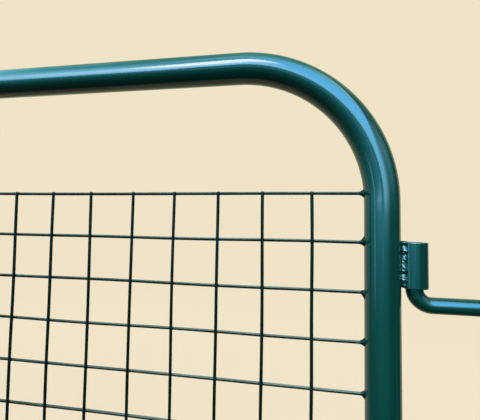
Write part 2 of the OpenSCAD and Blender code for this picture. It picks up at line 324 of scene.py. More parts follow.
cream, tree = new_material("cream_backdrop")
here = add_node(tree, "ShaderNodeMapping", {
    0: object_place(tree), "Location": (-stage_centre[0], -stage_centre[1], 0)}).outputs[0]
distance = add_node(tree, "ShaderNodeVectorMath", {0: here}, operation="LENGTH").outputs["Value"]
plain = add_node(tree, "ShaderNodeEmission", {"Color": backdrop_colour, "Strength": 1.0})
matt = add_node(tree, "ShaderNodeBsdfDiffuse", {"Color": floor_colour})
cover = add_node(tree, "ShaderNodeMixShader", {
    0: fade(tree, distance, lit_radius, even_radius), 1: matt.outputs[0], 2: plain.outputs[0]})
add_node(tree, "ShaderNodeOutputMaterial", {"Surface": cover.outputs[0]})

rise = np.radians(np.linspace(0, 89, 30))
dome = lathe(stage_centre, np.r_[floor_rings, stage_radius * np.cos(rise)],
             np.r_[np.zeros(len(floor_rings)), stage_radius * np.sin(rise)] - floor_drop, stage_columns)
floor_rows = len(floor_rings) + 1
disc_points, disc_faces = skin(dome[:floor_rows])
dome_points, dome_faces = skin(dome[floor_rows - 1:])
floor = mesh_object("floor", disc_points, disc_faces[:-stage_columns], cream)
backdrop = mesh_object("backdrop", dome_points,
                       dome_faces[:-2 * stage_columns] + dome_faces[-stage_columns:], cream)
for piece in (floor, backdrop):
    piece.visible_glossy = piece.visible_diffuse = False
backdrop.visible_shadow = False


# The leaf's frame is round steel tube, bent cold to a rounded rectangle in two halves that
# are butt-welded at mid height, then powder coated in one go with all that is welded to it.
tube_radius = 0.01685
tube_wall = 0.002
bend_radius = 0.147
bend_rows = 36
seam_rise, seam_half_width = 0.0007, 0.0028
LEVEL, OUT, UP = np.eye(3)


def corners(node):
    """Lowest and highest corner of a solid."""
    low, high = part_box(node)
    return np.array(low), np.array(high)


def sweep(path, tangent, first, across, along):
    """Section carried along a path: point = path + across * first + along * (tangent x first).
    What stays the same along the path, a way or the section, is given once."""
    second = np.cross(tangent, first)
    return (path[..., None, :] + across[..., None] * np.asarray(first)[..., None, :]
            + along[..., None] * second[..., None, :])


def circle(radius, columns):
    """Across and along coordinates of a circle."""
    angle = around(columns)
    return radius * np.cos(angle), radius * np.sin(angle)


def round_bar(path, tangent, first, radius, columns):
    """Round section carried along a path, with a radius for each place on it."""
    across, along = circle(1.0, columns)
    return sweep(path, tangent, first, radius[..., None] * across, radius[..., None] * along)


def tube_shell(path, tangent, first, radius, wall, columns=64):
    """Outer wall swept up the path and inner wall swept back down it, joined at both ends."""
    there_and_back = np.r_[np.arange(len(path)), np.arange(len(path))[::-1]]
    size = np.r_[np.full(len(path), radius), np.full(len(path), radius - wall)]
    return ("ring", round_bar(path[there_and_back], tangent[there_and_back], first, size, columns))


def bent_path(half_width, rail, foot):
    """Centreline of a U: up one leg, round a quarter circle, along the rail and down the
    other leg. Gives places (sideways, height) and unit tangents, for a rail over or under
    its feet."""
    way = math.copysign(1, rail - foot)
    turn = np.linspace(0, np.pi / 2, bend_rows)
    corner = np.stack([-half_width + bend_radius * (1 - np.cos(turn)),
                       rail - way * bend_radius * (1 - np.sin(turn))], -1)
    heading = np.stack([np.sin(turn), way * np.cos(turn)], -1)
    left = np.concatenate([[[-half_width, foot]], corner])
    left_heading = np.concatenate([[[0, way]], heading])
    return (np.concatenate([left, left[::-1] * [-1, 1]]),
            np.concatenate([left_heading, left_heading[::-1] * [1, -1]]))


def stand(flat, middle, sideways):
    """Turns (sideways, height) pairs into points of the upright plane through a middle point."""
    return middle + flat[:, :1] * sideways + flat[:, 1:] * UP


def lumps(distance, angle, length, seed, waves=14, shortest=0.003, longest=0.012, most_round=4):
    """Uneven skin of a weld, about -1 to 1: random waves along the bead and round its
    section. Each wave fits the bead's length a whole number of times, so a ring closes."""
    draw = np.random.default_rng(seed)
    fit = np.maximum(1, np.round(length / draw.uniform(shortest, longest, waves)))
    round_ = draw.integers(0, most_round, waves)
    phase = draw.uniform(0, 2 * np.pi, waves)
    size = draw.uniform(0.5, 1.0, waves)
    wave = np.cos(2 * np.pi * fit * (distance[..., None] / length) + round_ * angle[..., None] + phase)
    return (wave * size).sum(-1) / np.sqrt((size ** 2).sum())


def bead(path, tangent, first, half_width, half_height, seed, rough=0.10, columns=16):
    """Weld bead round a closed path: an oval section, first being its width, whose size
    swells with every ripple that the torch left and with the lumps."""
    ripple_pitch, ripple_size = 0.0022, 0.05
    step = np.linalg.norm(np.diff(path, axis=0, append=path[:1]), axis=1)
    length = step.sum()
    distance = np.concatenate([[0], np.cumsum(step)[:-1]])[:, None]
    angle = around(columns)[None, :]
    ripples = 2 * np.pi * max(1, round(length / ripple_pitch)) * distance / length
    swell = 1 + rough * lumps(distance, angle, length, seed) + ripple_size * np.cos(ripples)
    return ("ring", sweep(path, tangent, first, half_width * swell * np.cos(angle),
                          half_height * swell * np.sin(angle)))


def ring_path(centre, radius, first, second, steps):
    """Circle: centre + radius (first cos a + second sin a), with its tangents and outward normals."""
    angle = around(steps)[:, None]
    outward = first * np.cos(angle) + second * np.sin(angle)
    return np.asarray(centre) + radius * outward, second * np.cos(angle) - first * np.sin(angle), outward


def noise(tree, place, scale, detail, roughness=0.5):
    """Cloudy pattern, mostly from 0.3 to 0.7."""
    return add_node(tree, "ShaderNodeTexNoise", {
        "Vector": place, "Scale": scale, "Detail": detail, "Roughness": roughness}).outputs["Fac"]


def coat_film_group():
    """Powder coat: a fine orange peel and single dust nibs in the gloss, a slow change of the
    film's depth in its colour, dust where it faces up and dried splashes near the ground. It
    also gives a mask of the upper sides for a painted highlight, a pale sky reflection painted
    into the colour, stronger towards the hinge and in patches."""
    thin_film, thick_film = (0.0040, 0.072, 0.056), (0.0052, 0.088, 0.071)
    deep_shade = (0.0015, 0.003, 0.0, 1)
    dust_colour = (0.17, 0.18, 0.15, 1)
    splash_height = 0.16
    nibs_per_metre, nib_height = 70.0, 4.0
    group = bpy.data.node_groups.new("powder_coat_film", "ShaderNodeTree")
    for name in ("Peel Scale", "Peel Depth", "Gloss", "Dust", "Shade"):
        group.interface.new_socket(name=name, in_out="INPUT", socket_type="NodeSocketFloat")
    for name, kind in (("Color", "Color"), ("Roughness", "Float"), ("Normal", "Vector"),
                       ("Painted Highlight", "Float")):
        group.interface.new_socket(name=name, in_out="OUTPUT", socket_type="NodeSocket" + kind)
    given = group.nodes.new("NodeGroupInput").outputs
    place = object_place(group)
    where = add_node(group, "ShaderNodeSeparateXYZ", {0: place}).outputs
    normal = add_node(group, "ShaderNodeNewGeometry").outputs["Normal"]
    facing_up = add_node(group, "ShaderNodeSeparateXYZ", {0: normal}).outputs["Z"]

    peel = noise(group, place, given["Peel Scale"], detail=2.0, roughness=0.45)
    cell = add_node(group, "ShaderNodeTexVoronoi", {"Vector": place, "Scale": nibs_per_metre}).outputs
    lot = add_node(group, "ShaderNodeSeparateColor", {0: cell["Color"]}).outputs[0]
    nib = maths(group, "MULTIPLY", fade(group, lot, 0.80, 0.82), fade(group, cell["Distance"], 0.05, 0.015))
    bump = add_node(group, "ShaderNodeBump", {
        "Height": maths(group, "MULTIPLY_ADD", nib, nib_height, peel),
        "Distance": given["Peel Depth"], "Strength": 1.0})

    film = noise(group, place, scale=9.0, detail=3.0)
    coat = colour_steps(group, film, [(0.3, *thin_film), (0.7, *thick_film)])
    coat = blend_colours(group, given["Shade"], coat, deep_shade)
    speck = noise(group, place, scale=420.0, detail=4.0)
    patch = noise(group, place, scale=22.0, detail=5.0)
    settled = maths(group, "MULTIPLY", fade(group, facing_up, 0.05, 0.95), fade(group, patch, 0.38, 0.70))
    splashed = maths(group, "MULTIPLY", fade(group, where["Z"], splash_height, 0.0),
                     fade(group, speck, 0.50, 0.66))
    dirty = maths(group, "MULTIPLY", maths(group, "MAXIMUM", settled, splashed), given["Dust"])
    hazed = maths(group, "MULTIPLY_ADD", fade(group, patch, 0.35, 0.70), 0.05, given["Gloss"])
    # Mask of the painted highlight on upper sides: a pale sky reflection painted into the colour, stronger
    # towards the hinge and patchy.
    highlight_reach = maths(group, "MULTIPLY", fade(group, where["X"], -0.60, -0.18, 0.2, 1.0),
                   fade(group, patch, 0.35, 0.65, 0.7, 1.0))
    add_node(group, "NodeGroupOutput", {
        "Color": blend_colours(group, dirty, coat, dust_colour),
        "Roughness": maths(group, "MULTIPLY_ADD", dirty, 0.55, hazed),
        "Normal": bump.outputs["Normal"],
        "Painted Highlight": maths(group, "MULTIPLY", fade(group, facing_up, -0.03, 0.60), highlight_reach)})
    return group


coat_film = coat_film_group()
# Pale grey-teal of the highlight painted onto upper sides, standing in for the sky's reflection.
painted_highlight_colour = (0.20, 0.32, 0.285, 1)


def close_surface(tree, inputs):
    """Gives a material its one surface, with the shader's own sockets set from the inputs."""
    face = add_node(tree, "ShaderNodeBsdfPrincipled", inputs)
    add_node(tree, "ShaderNodeOutputMaterial", {"Surface": face.outputs[0]})


def powder_coat(name, peel_scale, peel_depth, gloss, dust, shade=0.0, mirror=0.5, painted_highlight=0.0):
    """Green gloss powder coat, with the film's own numbers for one kind of part. Shade darkens
    its colour, mirror is the strength of its reflections, 0.5 for a full, smooth film, and
    the last argument is the share of a pale highlight painted onto its upper side."""
    made, tree = new_material(name)
    film = add_node(tree, "ShaderNodeGroup", node_tree=coat_film)
    for socket, value in (("Peel Scale", peel_scale), ("Peel Depth", peel_depth), ("Gloss", gloss),
                          ("Dust", dust), ("Shade", shade)):
        film.inputs[socket].default_value = value
    colour = film.outputs["Color"]
    # Paints the pale highlight into the colour of the upper side, by the given share.
    if painted_highlight:
        highlight_mix = maths(tree, "MULTIPLY", film.outputs["Painted Highlight"], painted_highlight)
        colour = blend_colours(tree, highlight_mix, colour, painted_highlight_colour)
    close_surface(tree, {
        "Base Color": colour, "Roughness": film.outputs["Roughness"],
        "Normal": film.outputs["Normal"], "IOR": 1.5, "Specular IOR Level": mirror})
    return made


tube_coat = powder_coat("green_coat_on_tube", peel_scale=170.0, peel_depth=0.000025, gloss=0.06, dust=0.25)


def mount_piece(name, body, slot_name, material, *grids, stands_for=(), crease=35):
    """Makes the piece, lets it ride on its body and hides the solids it stands for.
    Its slot name is not used.
    """
    made = mesh_object(name, *skin(*grids), material, crease)
    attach(made, body)
    if stands_for:
        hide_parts(*stands_for)


leaf_low, leaf_high = corners("leaf_lower_frame")
leaf_half = (leaf_high[0] - leaf_low[0]) / 2 - tube_radius
leaf_middle = np.array([(leaf_high[0] + leaf_low[0]) / 2, 0, 0])
seam_z = leaf_high[2]
rail_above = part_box("leaf_upper_frame")[1][2] - tube_radius
rail_below = leaf_low[2] + tube_radius
for half, rail in (("upper", rail_above), ("lower", rail_below)):
    flat, heading = bent_path(leaf_half, rail, seam_z)
    mount_piece(f"leaf_{half}_tube", "leaf", "coated_tube", tube_coat,
                tube_shell(stand(flat, leaf_middle, LEVEL), stand(heading, 0, LEVEL), OUT,
                           tube_radius, tube_wall),
                stands_for=[f"leaf_{half}_frame"])

seam_rings = []
for number, end in enumerate((-1, 1)):
    seam = ring_path(leaf_middle + [end * leaf_half, 0, seam_z], tube_radius, LEVEL, OUT, 120)
    seam_rings.append(bead(*seam, seam_rise, seam_half_width, seed=40 + number, columns=12))
mount_piece("leaf_seam_welds", "leaf", "coated_tube", tube_coat, *seam_rings)


# The infill is a sheet of 3 mm wire, welded where the wires cross. Its level wires are cut to
# reach the stiles and each end is tacked to the tube, while the upright ones end free. The
# coating draws into the crossings. As cut and welded, the wires wander a little.
wire_radius = 0.00175
wire_layer = 0.0011
wire_overhang = 0.0025
wire_end = 0.0018
wire_drift = 0.00025
mesh_pitch = 0.05
seat = 0.0006
drop_radius, drop_depth = 0.0022, 0.0016
cut_round, cut_size = 0.0005, 0.72
first_station, station_pitch = 0.006, 0.0125
tack_length, tack_height, tack_depth = (0.0036, 0.0048), (0.0050, 0.0062), (0.0024, 0.0032)
tack_sag, tack_seated = (-0.0008, 0.0012), 0.0010
# The wires get the full painted highlight, a pale sky reflection painted along their upper side.
wire_coat = powder_coat("green_coat_on_wire", peel_scale=300.0, peel_depth=0.0, gloss=0.34, dust=0.4,
                        shade=0.88, mirror=0.06, painted_highlight=1.0)
tack_coat = powder_coat("green_coat_on_tacks", peel_scale=420.0, peel_depth=0.00002, gloss=0.42,
                        dust=0.4, shade=0.80, mirror=0.07)


def wander(draw, count):
    """Sideways drift of many wires at given distances: two random waves for each wire."""
    wave = draw.uniform(0.16, 0.55, (count, 1, 2))
    phase = draw.uniform(0, 2 * np.pi, (count, 1, 2))
    return lambda distance: wire_drift * np.sin(2 * np.pi * distance[..., None] / wave + phase).sum(-1)


def wires(start, way, length, drift, drift_way, layer, columns=10):
    """Many wires, each a round section carried from its start along its way, with ends that
    the coating has rounded. start is wires x 3 and layer is added to every point."""
    longest = length.max()
    stations = np.r_[0, cut_round, np.linspace(first_station, longest - first_station,
                                               int(longest / station_pitch)),
                     longest - cut_round, longest] / longest
    along = stations[None, :] * length[:, None]
    path = start[:, None, :] + along[..., None] * way + drift(along)[..., None] * drift_way + layer
    size = np.ones_like(along)
    size[:, [0, -1]] = cut_size
    size *= wire_radius * (1 + 0.02 * np.sin(along * 900 + 7 * start.sum(-1)[:, None]))
    return round_bar(path, way, drift_way, size, columns)


def wire_sheet(name, body, node, base, along, out, uprights, levels, reach, seed):
    """Upright wires on the outer layer, level wires on the inner one, a drop of coating round
    each crossing: a flattened ball 4.4 mm wide that fills the four corners."""
    draw = np.random.default_rng(seed)
    drift_up, drift_level = wander(draw, len(uprights)), wander(draw, len(levels))
    foot = levels.min() - wire_end
    tall = np.full(len(uprights), levels.max() - foot + wire_end)
    stand_at = base + uprights[:, None] * along + foot * UP
    upright = wires(stand_at, UP, tall, drift_up, along, wire_layer * out)
    lie_at = base - reach[:, None] * along + levels[:, None] * UP
    level = wires(lie_at, along, 2 * reach, drift_level, UP, -wire_layer * out)

    shift_up = drift_up(np.broadcast_to(levels - foot, (len(uprights), len(levels))))
    shift_level = drift_level(uprights[None, :] + reach[:, None])
    crossing = (base + (uprights[:, None] + shift_up)[..., None] * along
                + (levels[None, :] + shift_level.T)[..., None] * UP).reshape(-1, 1, 3)
    tilt = np.radians([-55, 0, 55])
    width = drop_radius * draw.uniform(0.9, 1.15, (len(crossing), 1, 1))
    across, beside = circle(1.0, 8)
    ball = np.cos(tilt)[None, :, None]
    drops = sweep(crossing + (drop_depth * np.sin(tilt))[None, :, None] * out, out, along,
                  width * ball * across, width * ball * beside)
    mount_piece(name, body, "coated_wire", wire_coat, upright, level, drops, stands_for=[node])
    return drift_level


def wire_tacks(name, body, base, along, out, levels, reach, drift_level, seed, droop):
    """Weld where each level wire meets its stile: a cone from the wire's own section to an
    uneven foot about 11 mm high, radius = wire + (foot - wire) * t ** 2. Droop is the sag of
    each weld at the far end, and the near ones sag at random."""
    draw = np.random.default_rng(seed)
    one_each = (len(levels), 1, 1)
    wire = wire_radius * 1.04
    t = np.linspace(0, 1, 8)
    angle = around(14)
    flare = t[None, :, None] ** 2
    grids = []
    for end in (-1, 1):
        at = np.full(len(levels), 0.0) if end < 0 else 2 * reach
        height = levels + drift_level(at[:, None])[:, 0]
        length = draw.uniform(*tack_length, len(levels))
        place = reach[:, None] - seat - length[:, None] * (1 - t) + tack_seated * t ** 8
        sag = droop[:, None] if end > 0 else draw.uniform(*tack_sag, (len(levels), 1))
        path = (base + end * place[..., None] * along + (height[:, None] - sag * t ** 2)[..., None] * UP
                - wire_layer * out)
        tall = draw.uniform(*tack_height, one_each)
        deep = draw.uniform(*tack_depth, one_each)
        uneven = 1 + 0.09 * flare * np.cos(3 * angle + draw.uniform(0, 6, one_each))
        uneven = uneven + 0.07 * flare * np.cos(2 * angle + draw.uniform(0, 6, one_each))
        up = (wire + (tall - wire) * flare) * uneven * np.cos(angle)
        beside = (wire + (deep - wire) * flare) * uneven * np.sin(angle)
        grids.append(sweep(path, end * along, UP, up, beside))
    mount_piece(name, body, "coated_wire", tack_coat, *grids)


def reach_to_tube(half_width, levels):
    """Half length of each level wire. Beside a bend the tube's inner face draws in by
    inner radius - sqrt(inner radius^2 - depth^2)."""
    inner = bend_radius - tube_radius
    depth = np.maximum(0, bend_radius - np.minimum(rail_above - levels, levels - rail_below))
    return half_width - tube_radius - inner + np.sqrt(inner ** 2 - depth ** 2) + seat


# Near the hinge a few wires lie a little off the pitch, and the first welds sag unevenly.
rows = 15
leaf_cells = 18
mesh_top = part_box("leaf_mesh")[1][2] - wire_overhang
leaf_levels = mesh_top - mesh_pitch * np.arange(rows + 1)
leaf_levels[2:5] -= [0.0002, 0.0002, 0.0004]
leaf_uprights = (np.arange(leaf_cells + 1) - leaf_cells / 2) * mesh_pitch
leaf_uprights[12:19] += [-0.0005, -0.0006, 0.0012, 0.0006, 0.0005, -0.0006, 0.0005]
leaf_reach = reach_to_tube(leaf_half, leaf_levels)
leaf_drift = wire_sheet("leaf_wire_sheet", "leaf", "leaf_mesh", leaf_middle, LEVEL, -OUT,
                        leaf_uprights, leaf_levels, leaf_reach, seed=7)
leaf_droop = np.random.default_rng(3).uniform(-0.0006, 0.0010, rows + 1)
leaf_droop[:5] = [-0.0002, -0.0013, 0.0026, -0.0002, 0.0008]
wire_tacks("leaf_wire_tacks", "leaf", leaf_middle, LEVEL, -OUT, leaf_levels, leaf_reach, leaf_drift,
           seed=11, droop=leaf_droop)


# The hinge bushes are short thick-walled tubes, turned with a small chamfer and welded to the
# outside of the stile before coating. Two uneven beads, laid with a weaving torch, fill the
# valleys in front and behind and end in a nub over the bush.
bore_radius = 0.00808
bush_chamfer = 0.0008
bore_lip = 0.0004
bead_start, bead_overrun = 0.0012, 0.0014
bead_half_width, bead_half_depth = 0.0034, 0.0031
valley_in, valley_out = 0.0017, 0.0062
weave, weave_length, weave_phase = 0.0007, 0.052, 0.026
pool_pitch, pool_change = 0.0093, 0.031
taper_length, nub_lean = 0.002, 0.0014
fitting_coat = powder_coat("green_coat_on_fittings", peel_scale=200.0, peel_depth=0.00004, gloss=0.06,
                           dust=0.3)

for which in ("upper", "lower"):
    low, high = corners(f"{which}_hinge_bush")
    outer = (high[0] - low[0]) / 2
    edge = bush_chamfer * np.array([[3, 0], [1.2, 0], [1, 0], [0.25, 0.3], [0, 1], [0, 1.2], [0, 3]])
    profile = np.concatenate([
        np.stack([outer - edge[:, 0], low[2] + edge[:, 1]], -1),
        np.stack([outer - edge[::-1, 0], high[2] - edge[::-1, 1]], -1),
        [[bore_radius + bore_lip, high[2]], [bore_radius, high[2] - bore_lip],
         [bore_radius, low[2] + bore_lip], [bore_radius + bore_lip, low[2]]]])
    mount_piece(f"{which}_bush_tube", "leaf", "coated_fittings", fitting_coat,
                ("ring", lathe((low + high) / 2, profile[:, 0], profile[:, 1], 80)),
                stands_for=[f"{which}_hinge_bush"])

    bead_from, bead_to = low[2] + bead_start, high[2] + bead_overrun
    length = bead_to - bead_from
    heights = np.linspace(bead_from, bead_to, 160)
    run = (heights - bead_from)[:, None]
    angle = around(40)[None, :]
    taper = np.clip(np.minimum(run, length - run) / taper_length, 0, 1) ** 0.5
    lean = nub_lean * (run / length) ** 12
    beads = []
    for number, face in enumerate((-1, 1)):
        aside = -face * weave * np.sin(2 * np.pi * (run - weave_phase) / weave_length) - lean
        path = np.concatenate([low[0] + valley_in + aside, np.full(run.shape, face * valley_out),
                               heights[:, None]], -1)
        pool = 2 * np.pi * run / pool_pitch + 1.2 + 0.5 * np.sin(2 * np.pi * run / pool_change + number)
        pools = np.cos(pool + 0.5 * np.cos(pool))
        coarse = lumps(run, angle, length, 70 + number, 10, 0.006, 0.016)
        fine = lumps(run, angle, length, 90 + number, 40, 0.0018, 0.0045, 9)
        swell = (1 + 0.10 * pools + 0.10 * coarse + 0.045 * fine) * (0.45 + 0.55 * taper)
        beads.append(sweep(path, UP, LEVEL, bead_half_width * swell * np.cos(angle),
                           bead_half_depth * swell * np.sin(angle)))
    mount_piece(f"{which}_bush_beads", "leaf", "coated_fittings", fitting_coat, *beads,
                stands_for=[f"{which}_bush_welds"], crease=60)


# The hinge hooks are round bar bent to an L: the pin stands up in the bush and the arm is
# welded square to the post, with a fillet all round where the bar meets the post's curve.
pin_radius = 0.008
pin_recess = 0.006
hook_bend = 0.016
hook_gap = 0.0003
hook_fillet = 0.0030
post_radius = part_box("hinge_post")[1][0]


def saddle_path(centre, toward, bar_radius, tube_size, steps=96):
    """Line where a level bar meets an upright tube: at height b sin a over the centre and
    b cos a to the side, it lies sqrt(R^2 - (b cos a)^2) out along the bar."""
    angle = around(steps)[:, None]
    beside = np.cross(UP, toward)
    out_by = np.sqrt(np.maximum(tube_size ** 2 - (bar_radius * np.cos(angle)) ** 2, 0))
    path = centre + toward * out_by + beside * bar_radius * np.cos(angle) + UP * bar_radius * np.sin(angle)
    tangent = np.roll(path, -1, 0) - np.roll(path, 1, 0)
    tangent /= np.linalg.norm(tangent, axis=1, keepdims=True)
    outward = beside * np.cos(angle) + UP * np.sin(angle)
    outward -= tangent * (outward * tangent).sum(1, keepdims=True)
    return path, tangent, outward / np.linalg.norm(outward, axis=1, keepdims=True)


for number, which in enumerate(("upper", "lower")):
    low, high = corners(f"{which}_hinge_bush")
    axis_x = (low[0] + high[0]) / 2
    turn_z, tip_z = low[2] - hook_gap, high[2] - pin_recess
    arm_z = turn_z - hook_bend
    turn = np.linspace(0, np.pi / 2, 20)
    flat = np.concatenate([
        [[axis_x, tip_z], [axis_x, tip_z - 0.0003], [axis_x, tip_z - 0.0010]],
        np.stack([axis_x + hook_bend * (1 - np.cos(turn)), turn_z - hook_bend * np.sin(turn)], -1),
        [[-post_radius + 0.001, arm_z]]])
    heading = np.concatenate([np.tile([0, -1], (3, 1)), np.stack([np.sin(turn), -np.cos(turn)], -1),
                              [[1, 0]]])
    size = np.full(len(flat), pin_radius)
    size[:2] -= [0.0008, 0.0002]
    bar = round_bar(stand(flat, 0, LEVEL), stand(heading, 0, LEVEL), OUT, size, 40)
    seam = saddle_path(arm_z * UP, -LEVEL, pin_radius + 0.0006, post_radius)
    mount_piece(f"{which}_hook_bar", "fixed_frame", "coated_fittings", fitting_coat, bar,
                bead(*seam, hook_fillet, hook_fillet, seed=20 + number, rough=0.07),
                stands_for=[f"{which}_hinge_hook"])


# The hinge post is a wide round tube on a square base plate, welded all round and anchored to
# its footing. A moulded cap with a low dome closes its top.
post_wall = 0.0032
post_foot, post_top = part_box("hinge_post")[0][2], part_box("hinge_post")[1][2]
cap_rim = 0.0025
base_spacing, base_hole = 0.120, 0.007
base_fillet = 0.0042

path = np.linspace(post_foot, post_top, 6)[:, None] * UP
mount_piece("hinge_post_tube", "fixed_frame", "coated_tube", tube_coat,
            tube_shell(path, np.broadcast_to(UP, path.shape), LEVEL, post_radius, post_wall, 96),
            stands_for=["hinge_post"])

cap_plug, cap_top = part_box("hinge_post_cap")[0][2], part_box("hinge_post_cap")[1][2]
dome_rise = cap_top - post_top - cap_rim
dome_radius = (post_radius ** 2 + dome_rise ** 2) / (2 * dome_rise)
dome_turn = np.linspace(math.asin(post_radius / dome_radius) * 0.975, 0.02, 14)
plug_radius = post_radius - post_wall - 0.0002
cap_profile = np.concatenate([
    [[0.002, cap_plug], [plug_radius - 0.001, cap_plug], [plug_radius, cap_plug + 0.001],
     [plug_radius, post_top], [post_radius - 0.0014, post_top], [post_radius - 0.0006, post_top + 0.0002],
     [post_radius - 0.0001, post_top + 0.0009], [post_radius, post_top + cap_rim - 0.0012],
     [post_radius - 0.0003, post_top + cap_rim - 0.0005]],
    np.stack([dome_radius * np.sin(dome_turn), cap_top - dome_radius * (1 - np.cos(dome_turn))], -1)])


def satin_finish(name, grain, patches, stops, rough, mirror, metallic=0.0):
    """Dull finish: a fine grain in relief (scale, detail, depth), and soft patches (scale,
    detail) that move its colour through the stops and its roughness from least to most."""
    made, tree = new_material(name)
    place = object_place(tree)
    scale, detail, depth = grain
    relief = add_node(tree, "ShaderNodeBump", {
        "Height": noise(tree, place, scale, detail), "Distance": depth, "Strength": 1.0})
    patch = noise(tree, place, *patches)
    close_surface(tree, {
        "Base Color": colour_steps(tree, patch, stops), "Roughness": fade(tree, patch, 0.3, 0.7, *rough),
        "Normal": relief.outputs["Normal"], "Metallic": metallic, "Specular IOR Level": mirror})
    return made


cap_plastic = satin_finish("green_cap_plastic", grain=(900.0, 2.0, 0.00008), patches=(40.0, 4.0),
                           stops=[(0.35, 0.006, 0.060, 0.046), (0.75, 0.014, 0.085, 0.066)],
                           rough=(0.36, 0.50), mirror=0.3)
mount_piece("hinge_post_cap_moulding", "fixed_frame", "cap_plastic", cap_plastic,
            lathe((0, 0), cap_profile[:, 0], cap_profile[:, 1], 96), stands_for=["hinge_post_cap"])

plate_coat = powder_coat("green_coat_on_plates", peel_scale=200.0, peel_depth=0.00005, gloss=0.16,
                         dust=0.45, mirror=0.22)
four_corners = ((0, 1, 1), (np.pi / 2, -1, 1), (np.pi, -1, -1), (1.5 * np.pi, 1, -1))


def drilled_plate(name, node, spacing, hole_radius, corner=0.008, bevel=0.0007):
    """Square plate cut from flat bar: a flat curve with round corners and four round holes,
    given its thickness and a small bevel on every edge, then made a mesh in its place."""
    low, high = corners(node)
    half = (high[0] - low[0]) / 2 - corner
    turn = np.radians(np.linspace(0, 90, 9))
    outline = np.concatenate([
        np.stack([sx * half + corner * np.cos(turn + quarter),
                  sy * half + corner * np.sin(turn + quarter)], -1) for quarter, sx, sy in four_corners])
    hole = np.stack(circle(hole_radius, 36), -1)
    holes = [hole + [sx * spacing / 2, sy * spacing / 2] for sx in (-1, 1) for sy in (-1, 1)]
    curve = bpy.data.curves.new(name, "CURVE")
    curve.dimensions = "2D"
    curve.fill_mode = "BOTH"
    for loop in [outline] + holes:
        spline = curve.splines.new("POLY")
        spline.points.add(len(loop) - 1)
        spline.points.foreach_set("co", np.c_[loop, np.zeros(len(loop)), np.ones(len(loop))].ravel())
        spline.use_cyclic_u = True
    curve.extrude = (high[2] - low[2]) / 2 - bevel
    curve.bevel_depth = bevel
    curve.bevel_resolution = 2
    curve.offset = -bevel
    drawn = bpy.data.objects.new(name + "_curve", curve)
    bpy.context.scene.collection.objects.link(drawn)
    mesh = bpy.data.meshes.new_from_object(drawn.evaluated_get(bpy.context.evaluated_depsgraph_get()))
    bpy.data.objects.remove(drawn)
    mesh.transform(Matrix.Translation((low + high) / 2))
    facing = np.empty(len(mesh.polygons) * 3)
    mesh.polygons.foreach_get("normal", facing)
    mesh.polygons.foreach_set("use_smooth", np.abs(facing.reshape(-1, 3)[:, 2]) < 0.999)
    mesh.materials.clear()
    mesh.materials.append(plate_coat)
    made = bpy.data.objects.new(name, mesh)
    bpy.context.scene.collection.objects.link(made)
    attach(made, "fixed_frame")
    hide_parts(node)


drilled_plate("hinge_post_base", "hinge_post_base_plate", base_spacing, base_hole)
seam = ring_path(post_foot * UP + 0.0006 * UP, post_radius + 0.0008, LEVEL, OUT, 200)
mount_piece("hinge_post_base_weld", "fixed_frame", "coated_fittings", fitting_coat,
            bead(*seam, base_fillet, base_fillet, seed=31, rough=0.06))


# Each plate is held by four zinc-plated ground anchors: a threaded stud standing out of the
# footing, with a flat washer and a hexagon nut. The zinc is dull and faintly mottled.
zinc = satin_finish("zinc_plate", grain=(1500.0, 1.0, 0.00003), patches=(320.0, 3.0),
                    stops=[(0.3, 0.24, 0.25, 0.255), (0.7, 0.40, 0.41, 0.42)],
                    rough=(0.38, 0.55), mirror=0.2, metallic=0.15)


def hexagon(across_flats, thickness, foot, turn=0.0):
    """Nut or bolt head about the upright axis: radius = half / cos(angle from the nearest
    flat), cut back at both faces by a 30 degree chamfer cone."""
    half = across_flats / 2
    angle = around(48)
    flat = (angle + np.pi / 6) % (np.pi / 3) - np.pi / 6
    depth = np.array([0, 0.3, 0.6, 1.0]) * half * (2 / math.sqrt(3) - 1) * 0.6
    heights = np.r_[depth, thickness - depth[::-1]]
    near = np.minimum(heights, thickness - heights)[:, None]
    radius = np.minimum(half / np.cos(flat), half * 0.99 + near / math.tan(math.radians(30)))
    return turned(radius, angle + turn, heights[:, None] + foot)


def thread(radius, pitch, low, high):
    """Threaded bar: radius = r - depth * (1 - cos(turns up the helix)) / 2, chamfered tip."""
    heights = np.arange(low, high, pitch / 5)[:, None]
    angle = around(18)[None, :]
    groove = 0.5 - 0.5 * np.cos(2 * np.pi * heights / pitch - angle)
    size = np.minimum(radius - 0.5 * pitch * groove, radius - pitch * 0.9 + (high - heights))
    return turned(size, angle, heights)


def washer(outer, inner, thickness, foot):
    """Flat ring with its outer edges rolled over."""
    roll = 0.15 * thickness
    return ("ring", lathe((0, 0), [outer - roll, outer, outer, outer - roll, inner, inner],
                          [foot, foot + roll, foot + thickness - roll, foot + thickness,
                           foot + thickness, foot], 40))


def anchors(name, node, spacing, stud, pitch, flats, washer_radius, seed):
    """Four studs with washer and nut on a plate's hole pattern."""
    low, high = corners(node)
    middle = (low + high) / 2
    draw = np.random.default_rng(seed)
    places = np.array([(middle[0] + sx * spacing / 2, middle[1] + sy * spacing / 2, high[2])
                       for sx in (-1, 1) for sy in (-1, 1)])
    thick, nut = 0.4 * stud, 1.62 * stud
    kind, ring = washer(washer_radius, stud * 1.08, thick, 0)
    grids = [(kind, ring[None] + places[:, None, None, :])]
    for at in places:
        grids.append(hexagon(flats, nut, thick, turn=draw.uniform(0, np.pi / 3)) + at)
        grids.append(thread(stud, pitch, thick + nut - 0.001,
                            thick + nut + draw.uniform(1.5, 2.0) * stud) + at)
    mount_piece(name, "fixed_frame", "zinc_bolts", zinc, *grids)


anchors("hinge_post_anchors", "hinge_post_base_plate", base_spacing, stud=0.006, pitch=0.00175,
        flats=0.019, washer_radius=0.012, seed=51)


